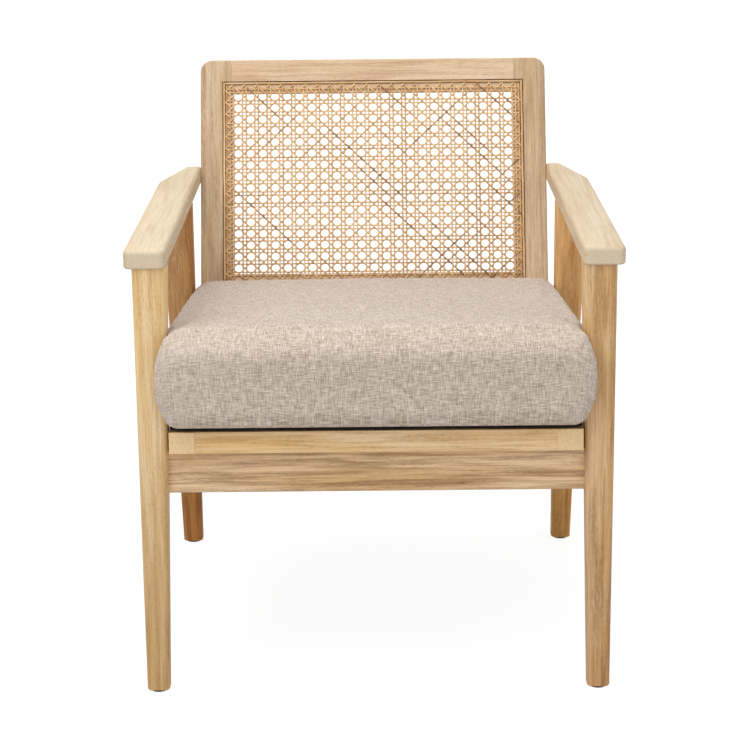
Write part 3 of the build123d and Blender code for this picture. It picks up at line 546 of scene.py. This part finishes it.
def webbing_finish(name, grain):
    material, place = material_of(name)
    strap = along_grain(place, grain)
    ribs = noise(strap, (60, 900, 900), detail=1)
    picks = noise(strap, (1100, 200, 200), detail=1)
    dust = noise(place, (30, 30, 30), detail=3)
    colour = mixed(ramp(ribs, 0.4, 0.7), rgb(24, 24, 26), rgb(50, 49, 50))
    colour = mixed(ramp(dust, 0.5, 0.8) * 0.25, colour, rgb(92, 88, 84))
    paint(material, {
        "Base Color": colour,
        "Roughness": 0.75 + 0.15 * ribs,
        "Normal": bumped(ribs + picks * 0.6, 0.5, 0.0006),
    })
    return material


def straps(name, grain, node, count, turn, length, span, wave):
    """A set of straps side by side, rising and dipping over the set that crosses them."""
    web = bmesh.new()
    step = (span - STRAP_WIDTH) / (count - 1)
    for number in range(count):
        offset = number * step - (span - STRAP_WIDTH) / 2
        place = Matrix.Rotation(turn, 4, "Z") @ Matrix.Translation((0, offset, STRAP_THICK))
        size = Matrix.Diagonal((length / 2, STRAP_WIDTH / 2, 1, 1))
        made = bmesh.ops.create_grid(web, x_segments=CELLS_ALONG_STRAP, y_segments=CELLS_ACROSS_STRAP,
                                     size=1, matrix=place @ size)
        sign = 1 if number % 2 else -1
        for point in made["verts"]:
            point.co.z += sign * STRAP_RISE * wave(point.co)
    bmesh.ops.transform(web, matrix=deck, verts=web.verts)
    piece = piece_of(name, web)
    piece.data.materials.append(webbing_finish(f"{name}_elastic", grain))
    thickened(piece, "strap_thickness", STRAP_THICK)
    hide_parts(node)
    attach(piece, "frame")


cross_step = (seat_length - STRAP_WIDTH) / (CROSS_STRAPS - 1)
long_span = long_high.x - long_low.x
long_step = (long_span - STRAP_WIDTH) / (LONG_STRAPS - 1)
straps("webbing_across", ACROSS, "cross_straps", CROSS_STRAPS, 0, cross_high.x - cross_low.x, seat_length,
       lambda co: cos(pi * co.x / long_step))
straps("webbing_lengthwise", ALONG_SEAT, "long_straps", LONG_STRAPS, pi / 2, seat_length, long_span,
       lambda co: -cos(pi * co.y / cross_step))

# Deck cloth
# A sheet of black spun cloth laid over the webbing and tacked along its edges, which shows as
# a dark line under the cushion. Between the stiles a flap of it runs back on to the rear rail.
cloth_low, cloth_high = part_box("deck_cloth")
CLOTH_THICK = 0.0008
CLOTH_SAG = 0.0006
CLOTH_SPREAD = 0.002
FLAP_HALF = 0.2
FLAP_LENGTH = 0.018
FLAP_CLEAR = 0.0003
CLOTH_CELLS = 96
cloth_width = cloth_high.x - cloth_low.x + 2 * CLOTH_SPREAD
cloth_length = (cloth_high.y - cloth_low.y) / cos(SEAT_TILT)
cloth = bmesh.new()
size = Matrix.Diagonal((cloth_width / 2, cloth_length / 2, 1, 1))
bmesh.ops.create_grid(cloth, x_segments=CLOTH_CELLS, y_segments=CLOTH_CELLS, size=1, matrix=size)
for point in cloth.verts:
    dip = cos(2 * pi * point.co.x / long_step) + cos(2 * pi * point.co.y / cross_step)
    point.co.z = -CLOTH_SAG * (0.5 + 0.25 * dip)
cloth_place = Matrix.Translation((cloth_low + cloth_high) / 2) @ Matrix.Rotation(-SEAT_TILT, 4, "X")
rail_low, rail_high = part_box("seat_rear_rail")
rail_size = rail_high - rail_low
rail_depth = (rail_size.y * cos(SEAT_TILT) - rail_size.z * sin(SEAT_TILT)) / cos(2 * SEAT_TILT)
rail_edge = Vector((0, rail_high.y - rail_depth * cos(SEAT_TILT), rail_high.z))
rail_edge = cloth_place.inverted() @ rail_edge
flap_height = rail_edge.z + CLOTH_THICK / 2 + FLAP_CLEAR
flap_end = rail_edge.y + FLAP_LENGTH
tiny = CLOTH_THICK / 10
fold = []
for edge in cloth.edges:
    at_rear = all(point.co.y > cloth_length / 2 - tiny for point in edge.verts)
    if at_rear and all(abs(point.co.x) < FLAP_HALF for point in edge.verts):
        fold.append(edge)
for reach in (rail_edge.y + CLOTH_SPREAD, flap_end):
    made = bmesh.ops.extrude_edge_only(cloth, edges=fold)["geom"]
    for point in made:
        if isinstance(point, bmesh.types.BMVert):
            point.co.y = reach
            point.co.z = flap_height
    fold = []
    for edge in made:
        if isinstance(edge, bmesh.types.BMEdge) and all(point.co.y > reach - tiny for point in edge.verts):
            fold.append(edge)
bmesh.ops.recalc_face_normals(cloth, faces=cloth.faces)
bmesh.ops.transform(cloth, matrix=cloth_place, verts=cloth.verts)
deck_sheet = piece_of("deck_sheet", cloth)
spun, spun_place = material_of("deck_spun_cloth")
spun_dots = noise(spun_place, (700, 700, 700), detail=1)
spun_cloud = noise(spun_place, (120, 120, 120), detail=4)
paint(spun, {
    "Base Color": mixed(ramp(spun_cloud, 0.35, 0.7), rgb(10, 10, 10), rgb(24, 23, 23)),
    "Roughness": 0.85 + 0.1 * spun_dots,
    "Normal": bumped(spun_dots, 0.4, 0.0004),
    "Specular IOR Level": 0.15,
})
deck_sheet.data.materials.append(spun)
thickened(deck_sheet, "cloth_thickness", CLOTH_THICK)
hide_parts("deck_cloth")
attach(deck_sheet, "frame")

# Seat cushion
# A loose box cushion: a foam block in a sewn cover of oatmeal linen, whose front swells out
# past the legs. The top and front are one length of cloth, and a strip runs round the sides.
CUSHION_VOXEL = 0.005
COVER_THICK = 0.0019
CUSHION_SWELL = 0.004
NOSE_LIFT = 0.004
NOSE_LIFT_HEIGHT = 0.03
NOSE_ROUND = 0.036
REAR_DROP = 0.0035
REAR_CORNER = 0.03
SIDE_FROM = 0.2
SIDE_BULGE = 0.006
BULGE_RUN = 0.016
LEG_STEP_OUT = 0.012
SIDE_BOW = 0.002
EDGE_HEIGHT = 0.122
CUSHION_PRESSURE = 4.0
CLOTH_QUALITY = 5
STRETCH_STIFFNESS = 18.0
SHEAR_STIFFNESS = 8.0
BENDING_STIFFNESS = 1.5
SIM_FRAMES = 20
SEAM_HEIGHT = 0.005
SEAM_WIDTH = 0.0028
SEAM_DEPTH = 0.0012
SEAM_FROM = 0.02            # behind the front of the armrests
SEAM_FACING = 0.5
SIDE_FACING = 0.72
REAR_FACING = 0.5
WELD = 0.00001
CLEAR = 0.0003
scene = bpy.context.scene


def applied(piece):
    """Turn a piece's modifiers into its mesh."""
    graph = bpy.context.evaluated_depsgraph_get()
    mesh = bpy.data.meshes.new_from_object(piece.evaluated_get(graph))
    piece.modifiers.clear()
    piece.data = mesh


cover_low, cover_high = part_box("cushion_cover")
arm_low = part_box("armrest_right")[0]
front_leg_low, front_leg_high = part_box("front_leg_right")
leg_front = front_leg_low.y
leg_back = front_leg_high.y
padding = bmesh.new()
padding.from_mesh(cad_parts["cushion_foam"].data)
bmesh.ops.remove_doubles(padding, verts=padding.verts, dist=WELD)
cushion = piece_of("seat_cushion", padding)
remesh = cushion.modifiers.new("even_mesh", "REMESH")
remesh.mode = "VOXEL"
remesh.voxel_size = CUSHION_VOXEL
applied(cushion)
start = [(point.co.copy(), point.normal.copy()) for point in cushion.data.vertices]
cloth_sim = cushion.modifiers.new("stuffing", "CLOTH")
settings = cloth_sim.settings
settings.use_pressure = True
settings.uniform_pressure_force = CUSHION_PRESSURE
settings.effector_weights.gravity = 0
settings.quality = CLOTH_QUALITY
settings.tension_stiffness = STRETCH_STIFFNESS
settings.compression_stiffness = STRETCH_STIFFNESS
settings.shear_stiffness = SHEAR_STIFFNESS
settings.bending_stiffness = BENDING_STIFFNESS
for number in range(1, SIM_FRAMES + 1):
    scene.frame_set(number)
applied(cushion)
scene.frame_set(1)

arm_front = arm_low.y - CLEAR
side_edge = arm_low.x - CLEAR - SIDE_BOW
underside = Vector((0, sin(SEAT_TILT), cos(SEAT_TILT)))
deck_front = Vector((0, cloth_low.y, cloth_high.z))
deck_rear = Vector((0, cloth_high.y, cloth_low.z))
deck_top = max(underside.dot(deck_front), underside.dot(deck_rear))


def eased(share):
    """A share from 0 to 1 that starts and ends gently."""
    share = max(0, min(1, share))
    return share * share * (3 - 2 * share)


def side_reach(y, z):
    """Half the cushion's width at a place: the legs pinch it, and it bulges between them."""
    down_leg = (leg_high.z - z) / (leg_high.z - leg_low.z)
    rear_leg_front = leg_low.y - (leg_high.z - z) * leg_lean[1] / leg_lean[2]
    to_rear_leg = max(0, (rear_leg_front - y) / (rear_leg_front - leg_back))
    bulge = SIDE_BULGE * eased((y - leg_back) / BULGE_RUN) * to_rear_leg
    return arm_low.x + LEG_STEP_OUT * down_leg - CLEAR + bulge


for point, (origin, outwards) in zip(cushion.data.vertices, start):
    swell = max(0, min(CUSHION_SWELL, outwards.dot(point.co - origin)))
    point.co = origin + outwards * (COVER_THICK + swell)
    sink = deck_top + CLEAR - underside.dot(point.co)
    if sink > 0:
        point.co += underside * sink
    point.co.y = max(cover_low.y, min(cover_high.y, point.co.y))
    height = underside.dot(point.co) - deck_top
    ahead = min(1, (cover_low.y - point.co.y) / NOSE_ROUND + 1)
    above = min(1, (height - EDGE_HEIGHT) / NOSE_ROUND + 1)
    if ahead > 0 and above > 0:
        point.co.y = cover_low.y + NOSE_ROUND * (1 - ahead * sqrt(1 - above ** 2 / 2))
        point.co.z += NOSE_ROUND * above * (sqrt(1 - ahead ** 2 / 2) - 1)
    if origin.y < arm_front:
        point.co.y = min(point.co.y, arm_front)
        point.co.z += NOSE_LIFT * max(0, 1 - height / NOSE_LIFT_HEIGHT)
        continue
    point.co.y = max(point.co.y, arm_front)
    point.co.z -= REAR_DROP * eased(point.co.y / cover_high.y) * height / EDGE_HEIGHT
    side = 1 if point.co.x > 0 else -1
    reach = side_reach(point.co.y, point.co.z)
    across = abs(point.co.x)
    across += eased((across - SIDE_FROM) / (side_edge - SIDE_FROM)) * (reach - side_edge)
    across = min(across, reach)
    past_side = (across - reach) / REAR_CORNER + 1
    past_rear = (point.co.y - cover_high.y) / REAR_CORNER + 1
    if past_side > 0 and past_rear > 0:
        across = reach + REAR_CORNER * (past_side * sqrt(1 - past_rear ** 2 / 2) - 1)
        point.co.y = cover_high.y + REAR_CORNER * (past_rear * sqrt(1 - past_side ** 2 / 2) - 1)
    point.co.x = side * across
finer = cushion.modifiers.new("finer_mesh", "SUBSURF")
finer.levels = 1
finer.render_levels = 1
applied(cushion)

sewn = bmesh.new()
sewn.from_mesh(cushion.data)
sewn.normal_update()
for point in sewn.verts:
    height = underside.dot(point.co) - deck_top
    side_share = abs(point.normal.x) + max(point.normal.y, 0)
    if side_share < SEAM_FACING or point.co.y < arm_front + SEAM_FROM:
        continue
    for line in (SEAM_HEIGHT, EDGE_HEIGHT - SEAM_HEIGHT):
        near = (height - line) / SEAM_WIDTH
        point.co -= point.normal * SEAM_DEPTH * exp(-near * near)
cloth_map = sewn.loops.layers.uv.new("cloth")
for face in sewn.faces:
    face.smooth = True
    sideways = abs(face.normal.x) > SIDE_FACING
    rearwards = face.normal.y > REAR_FACING
    for loop in face.loops:
        x, y, z = loop.vert.co
        if sideways:
            loop[cloth_map].uv = (y, z)
        elif rearwards:
            loop[cloth_map].uv = (x, y - z)
        else:
            loop[cloth_map].uv = (x, y + z)
sewn.to_mesh(cushion.data)
sewn.free()

THREADS = 1700
THREAD_LENGTH = 80
THREAD_SPREAD = 900


def yarn(across, along):
    """Threads side by side, each with its own thick and thin stretches along its length."""
    thread = across.maths("FLOOR", across * THREADS)
    chance = thread.node("ShaderNodeTexWhiteNoise", {"noise_dimensions": "1D"}, {"W": thread})
    stretch = chance.node("ShaderNodeCombineXYZ", {}, {
        "X": chance * THREAD_SPREAD, "Y": along * THREAD_LENGTH + chance * THREADS})
    return noise(stretch, (1, 1, 1), detail=2)


linen, linen_place = material_of("oatmeal_linen")
linen_map = linen_place.node("ShaderNodeUVMap", {"uv_map": "cloth"}, {})
cloth_across = linen_map.node("ShaderNodeSeparateXYZ", {}, {"Vector": linen_map})
cloth_along = linen_map.node("ShaderNodeSeparateXYZ", {}, {"Vector": linen_map}, output=1)
warp = yarn(cloth_across, cloth_along)
weft = yarn(cloth_along, cloth_across)
slubs_across = ramp(noise(linen_map, (40, 1100, 1), detail=1), 0.6, 0.76)
slubs_along = ramp(noise(linen_map, (1100, 40, 1), detail=1), 0.6, 0.76)
flecks = ramp(noise(linen_map, (900, 900, 1), detail=2), 0.56, 0.72)
fading = noise(linen_place, (5, 5, 5), detail=2)
threads = warp * 0.5 + weft * 0.5
linen_colour = mixed(ramp(threads, 0.34, 0.66), rgb(159, 140, 122), rgb(238, 223, 209))
linen_colour = mixed(slubs_across * 0.16 + slubs_along * 0.2, linen_colour, rgb(150, 131, 114))
linen_colour = mixed(flecks * 0.25, linen_colour, rgb(140, 121, 104))
linen_colour = mixed(ramp(fading, 0.4, 0.7) * 0.15, linen_colour, rgb(222, 210, 196))
over = cloth_across.maths("SINE", cloth_across * (2 * pi * THREADS))
under = cloth_along.maths("SINE", cloth_along * (2 * pi * THREADS))
linen_height = over * under * 0.5 + threads + slubs_across * 0.5 + slubs_along * 0.4
paint(linen, {
    "Base Color": linen_colour,
    "Roughness": 0.82 + 0.1 * threads,
    "Normal": bumped(linen_height, 0.35, 0.0005),
    "Sheen Weight": 0.2,
    "Sheen Roughness": 0.5,
    "Specular IOR Level": 0.2,
})
cushion.data.materials.append(linen)
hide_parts("cushion_cover", "cushion_foam")
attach(cushion, "cushion")

# Zip
# A nylon zip sewn into the back of the cover so that the foam can be taken out: a woven tape,
# a coil of teeth along its middle, and a plated slider with a pull.
tape_low, tape_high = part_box("zip_tape")
TAPE_THICK = 0.0008
TOOTH_PITCH = 0.0025
TOOTH_SIZE = (0.0017, 0.0018, 0.005)
TOOTH_LEAN = 0.0004
CHAIN_LENGTH = 0.39
tape_height = tape_high.z - tape_low.z
tape_middle = (tape_low + tape_high) / 2
tape = bmesh.new()
tape_size = Matrix.Diagonal((tape_high.x - tape_low.x, TAPE_THICK, tape_height, 1))
tape_place = Matrix.Translation((tape_middle.x, tape_low.y + TAPE_THICK / 2, tape_middle.z))
bmesh.ops.create_cube(tape, size=1, matrix=tape_place @ tape_size)
bmesh.ops.bevel(tape, geom=tape.edges, offset=TAPE_THICK / 4, offset_type="OFFSET", segments=2,
                profile=0.5, affect="EDGES", material=-1)
teeth = int(CHAIN_LENGTH / TOOTH_PITCH)
for number in range(teeth):
    x = (number + 0.5) * TOOTH_PITCH - CHAIN_LENGTH / 2
    lean = TOOTH_LEAN if number % 2 else -TOOTH_LEAN
    place = Matrix.Translation((x, tape_low.y + TAPE_THICK + TOOTH_SIZE[1] / 2, tape_middle.z + lean))
    size = Matrix.Diagonal((TOOTH_SIZE[0] / 2, TOOTH_SIZE[1] / 2, TOOTH_SIZE[2] / 2, 1))
    bmesh.ops.create_uvsphere(tape, u_segments=8, v_segments=6, radius=1, matrix=place @ size)
zip_tape = piece_of("zip_coil_and_tape", tape)
woven, woven_place = material_of("zip_woven_tape")
ribs = noise(woven_place, (900, 900, 120), detail=1)
paint(woven, {
    "Base Color": mixed(ramp(ribs, 0.35, 0.7), rgb(190, 172, 154), rgb(162, 144, 126)),
    "Roughness": 0.6 + 0.2 * ribs,
    "Normal": bumped(ribs, 0.4, 0.0003),
})
zip_tape.data.materials.append(woven)
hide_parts("zip_tape")
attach(zip_tape, "cushion")
nickel, nickel_place = material_of("zip_nickel")
nickel_wear = noise(nickel_place, (700, 700, 700), detail=3)
paint(nickel, {
    "Base Color": mixed(nickel_wear, rgb(186, 182, 172), rgb(140, 136, 128)),
    "Metallic": 1.0,
    "Roughness": 0.22 + 0.2 * nickel_wear,
})
for node in ("zip_slider", "zip_pull"):
    dress(node, nickel)

# Studio
# A white floor and surround, as for a product picture, with a wide lamp above and two in front.
# The floor glows a little, so that only the soft shadow under the chair is darker than white.
FLOOR_SIZE = 12
FLOOR_GLOW = 0.76
FLOOR_BOUNCE = 0.72
FLOOR_WHITE = 0.86
GLOW_STRENGTH = 1.19
SHADOW_NEAR = 0.7
SHADOW_FAR = 1.6
WORLD_LIGHT = 0.42


def seen_rays(nodes):
    """1 for a ray from the camera, straight, off a shiny piece or through a clear one, and else 0."""
    camera_ray = Shade(nodes.new("ShaderNodeLightPath").outputs["Is Camera Ray"])
    paths = camera_ray.socket.node.outputs
    return camera_ray + Shade(paths["Is Glossy Ray"]) + Shade(paths["Is Transmission Ray"])


floor_cut = bmesh.new()
bmesh.ops.create_grid(floor_cut, x_segments=1, y_segments=1, size=FLOOR_SIZE)
floor = piece_of("studio_floor", floor_cut)
white = bpy.data.materials.new("studio_white")
white.use_nodes = True
white_nodes = white.node_tree.nodes
seen = seen_rays(white_nodes)
bounce = mixed(seen, (*[FLOOR_BOUNCE] * 3, 1), (*[FLOOR_WHITE] * 3, 1))
paint(white, {"Base Color": bounce, "Roughness": 0.9, "Specular IOR Level": 0.0})
glow = seen.node("ShaderNodeEmission", {}, {"Color": (1, 1, 1, 1), "Strength": GLOW_STRENGTH})
body = Shade(white_nodes["Principled BSDF"].outputs[0])
floor_place = Shade(white_nodes.new("ShaderNodeTexCoord").outputs["Object"])
away = floor_place.node("ShaderNodeVectorMath", {"operation": "LENGTH"}, {0: floor_place}, output=1)
glow_share = FLOOR_GLOW + (1 - FLOOR_GLOW) * ramp(away, SHADOW_NEAR, SHADOW_FAR)
blended = seen.node("ShaderNodeMixShader", {}, {0: seen * glow_share, 1: body, 2: glow})
white.node_tree.links.new(blended.socket, white_nodes["Material Output"].inputs["Surface"])
floor.data.materials.append(white)

world = bpy.data.worlds.new("studio_world")
scene.world = world
world.use_nodes = True
sky = world.node_tree.nodes
strength = WORLD_LIGHT + seen_rays(sky) * (1 - WORLD_LIGHT)
world.node_tree.links.new(strength.socket, sky["Background"].inputs["Strength"])
sky["Background"].inputs["Color"].default_value = (1, 1, 1, 1)


def softbox(name, place, aim, power, width):
    """A square lamp that points at a place on the chair."""
    lamp = bpy.data.lights.new(name, "AREA")
    lamp.energy = power
    lamp.size = width
    stand = bpy.data.objects.new(name, lamp)
    turn = (Vector(aim) - Vector(place)).to_track_quat("-Z", "Y").to_matrix().to_4x4()
    stand.matrix_world = Matrix.Translation(place) @ turn
    scene.collection.objects.link(stand)


softbox("softbox_above", (-0.5, -0.6, 2.9), (0, 0, 0.4), power=49, width=2.2)
softbox("softbox_front_left", (-1.8, -2.3, 2.2), (0, 0, 0.45), power=25, width=1.6)
softbox("softbox_front_right", (2.3, -2.0, 1.6), (0, 0, 0.45), power=13, width=1.6)

# Camera
# It stands in front of the chair, a little above the back, and looks down at the seat. Its place
# and lens were fitted to the edges of the chair in the picture.
PICTURE = 750
FOCAL_PIXELS = 2290
CAMERA_AHEAD = 2.704        # in front of the front legs
CAMERA_HEIGHT = 1.114
CAMERA_PITCH = radians(14.53)
CAMERA_ROLL = radians(-0.55)
CAMERA_SIDE = -0.0007
lens = bpy.data.cameras.new("picture_camera")
lens.sensor_fit = "HORIZONTAL"
lens.lens = lens.sensor_width * FOCAL_PIXELS / PICTURE
camera = bpy.data.objects.new("picture_camera", lens)
scene.collection.objects.link(camera)
stand_point = Vector((CAMERA_SIDE, leg_front - CAMERA_AHEAD, CAMERA_HEIGHT))
aim = Matrix.Rotation(pi / 2 - CAMERA_PITCH, 4, "X") @ Matrix.Rotation(CAMERA_ROLL, 4, "Z")
camera.matrix_world = Matrix.Translation(stand_point) @ aim
scene.camera = camera
scene.view_settings.view_transform = "Standard"
